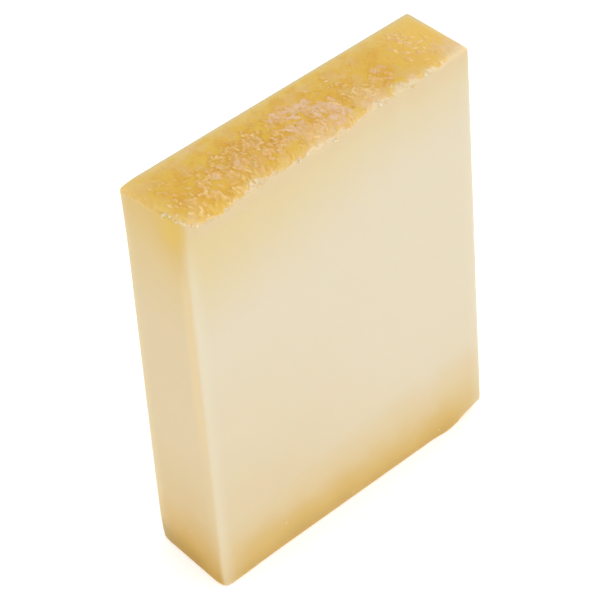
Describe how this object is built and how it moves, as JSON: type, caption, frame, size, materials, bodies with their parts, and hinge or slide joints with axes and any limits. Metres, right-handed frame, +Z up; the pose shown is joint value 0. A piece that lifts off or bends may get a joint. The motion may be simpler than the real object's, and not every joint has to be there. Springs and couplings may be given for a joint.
{
  "type": "gruyere chunk",
  "caption": "Upright slab of pale hard cheese cut through a wheel, with a flaky golden rind on its narrow top and smooth cut sides.",
  "frame": {"origin": "middle of the bounding box's bottom, on the flat foot it stands on", "axes": "+Z up from the lower rind to the upper rind, +X along the slab, +Y across its thickness away from the broad face with the worn upper edge"},
  "size_m": [0.0852, 0.0242, 0.111],
  "materials": {
    "cheese": "matte, slightly waxy"
  },
  "bodies": {
    "root": {"cheese_chunk": "cheese"}
  },
  "joints": []
}
